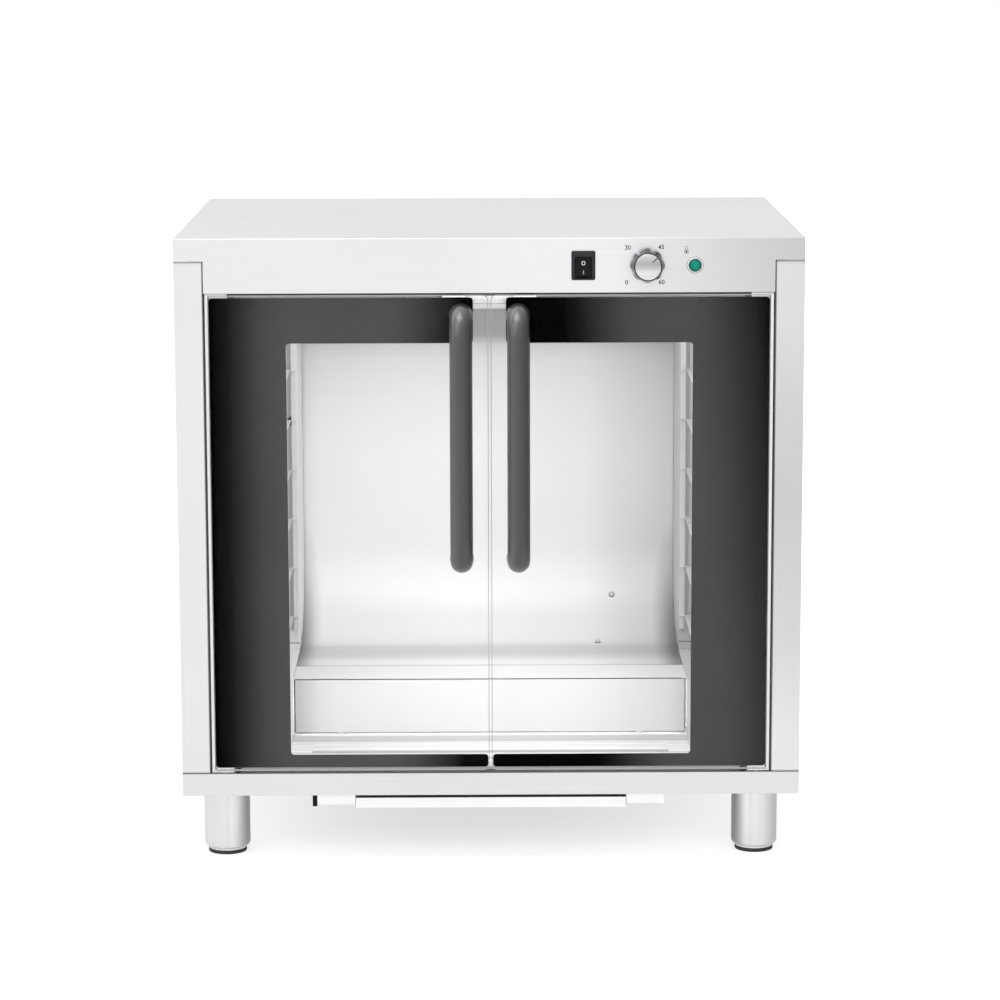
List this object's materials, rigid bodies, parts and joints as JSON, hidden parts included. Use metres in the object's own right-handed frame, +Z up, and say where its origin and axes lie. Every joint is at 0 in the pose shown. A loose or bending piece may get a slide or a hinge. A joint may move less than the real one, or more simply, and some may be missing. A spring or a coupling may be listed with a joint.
{
  "type": "proofing cabinet",
  "caption": "Countertop steel proofing cabinet with a pair of glass doors with bow handles, a control fascia, tray racks inside, a drip tray beneath and round legs.",
  "frame": {"origin": "on the ground, under the middle of the whole box, handles and cable gland included", "axes": "+Z up, -Y out of the doors to the front, +X to the right seen from the front"},
  "size_m": [0.8, 0.7, 0.811],
  "materials": {
    "casing_steel": "satin stainless sheet",
    "liner_steel": "semi-bright stainless sheet",
    "polished_steel": "polished steel",
    "dark_steel": "dark oxidised steel",
    "door_glass": "clear toughened glass",
    "glass_print": "black enamel print behind the glass",
    "handle_grey": "dark grey coated bar",
    "black_plastic": "black moulded plastic",
    "white_plastic": "white moulded plastic",
    "knob_silver": "satin silver plated plastic",
    "lens_green": "clear green plastic lens",
    "seal_silicone": "pale silicone",
    "foot_rubber": "black rubber"
  },
  "bodies": {
    "root": {"top_panel": "casing_steel", "left_side_panel": "casing_steel", "right_side_panel": "casing_steel", "back_panel": "casing_steel", "base_frame": "casing_steel", "front_frame": "casing_steel", "door_seal": "seal_silicone", "left_upper_pivot_bracket": "polished_steel", "left_lower_pivot_bracket": "polished_steel", "right_upper_pivot_bracket": "polished_steel", "right_lower_pivot_bracket": "polished_steel", "left_door_magnet": "black_plastic", "right_door_magnet": "black_plastic", "left_liner": "liner_steel", "right_liner": "liner_steel", "left_alcove_liner": "liner_steel", "right_alcove_liner": "liner_steel", "rear_liner": "liner_steel", "ceiling_liner": "liner_steel", "floor_liner": "liner_steel", "deck_strip": "liner_steel", "left_tray_rack": "liner_steel", "right_tray_rack": "liner_steel", "temperature_probe": "dark_steel", "heating_element": "dark_steel", "heater_bracket": "liner_steel", "terminal_block": "white_plastic", "thermostat_body": "white_plastic", "switch_housing": "black_plastic", "lamp_bezel": "white_plastic", "lamp_lens": "lens_green", "left_tray_runner": "casing_steel", "right_tray_runner": "casing_steel", "left_front_leg": "casing_steel", "left_rear_leg": "casing_steel", "right_front_leg": "casing_steel", "right_rear_leg": "casing_steel", "cable_gland": "black_plastic"},
    "left_door": {"left_door_glass": "door_glass", "left_door_print": "glass_print", "left_striker_plate": "dark_steel", "left_door_handle": "handle_grey", "left_upper_hinge_shoe": "white_plastic", "left_lower_hinge_shoe": "white_plastic"},
    "right_door": {"right_door_glass": "door_glass", "right_door_print": "glass_print", "right_striker_plate": "dark_steel", "right_door_handle": "handle_grey", "right_upper_hinge_shoe": "white_plastic", "right_lower_hinge_shoe": "white_plastic"},
    "knob": {"control_knob": "knob_silver"},
    "switch_rocker": {"rocker": "black_plastic"},
    "tray": {"drip_tray": "casing_steel"},
    "basin": {"water_basin": "liner_steel"},
    "left_front_levelling_foot": {"left_front_foot": "foot_rubber"},
    "left_rear_levelling_foot": {"left_rear_foot": "foot_rubber"},
    "right_front_levelling_foot": {"right_front_foot": "foot_rubber"},
    "right_rear_levelling_foot": {"right_rear_foot": "foot_rubber"}
  },
  "joints": [
    {"name": "left_door_hinge", "type": "hinge", "parent": "root", "child": "left_door", "pos_m": [-0.345, -0.283, 0.1195], "axis": [0, 0, -1], "range_deg": [0, 120]},
    {"name": "right_door_hinge", "type": "hinge", "parent": "root", "child": "right_door", "pos_m": [0.345, -0.283, 0.1195], "axis": [0, 0, 1], "range_deg": [0, 120]},
    {"name": "knob_turn", "type": "hinge", "parent": "root", "child": "knob", "pos_m": [0.2001, -0.2908, 0.7758], "axis": [0, -1, 0], "range_deg": [-90, 180]},
    {"name": "rocker_tilt", "type": "hinge", "parent": "root", "child": "switch_rocker", "pos_m": [0.1191, -0.2865, 0.773], "axis": [1, 0, 0], "range_deg": [0, 14]},
    {"name": "drip_tray_slide", "type": "slide", "parent": "root", "child": "tray", "axis": [0, -1, 0], "range_m": [0, 0.25]},
    {"name": "basin_slide", "type": "slide", "parent": "root", "child": "basin", "axis": [0, -1, 0], "range_m": [0, 0.19]},
    {"name": "left_front_foot_height", "type": "slide", "parent": "root", "child": "left_front_levelling_foot", "axis": [0, 0, -1], "range_m": [0, 0.025]},
    {"name": "left_rear_foot_height", "type": "slide", "parent": "root", "child": "left_rear_levelling_foot", "axis": [0, 0, -1], "range_m": [0, 0.025]},
    {"name": "right_front_foot_height", "type": "slide", "parent": "root", "child": "right_front_levelling_foot", "axis": [0, 0, -1], "range_m": [0, 0.025]},
    {"name": "right_rear_foot_height", "type": "slide", "parent": "root", "child": "right_rear_levelling_foot", "axis": [0, 0, -1], "range_m": [0, 0.025]}
  ]
}
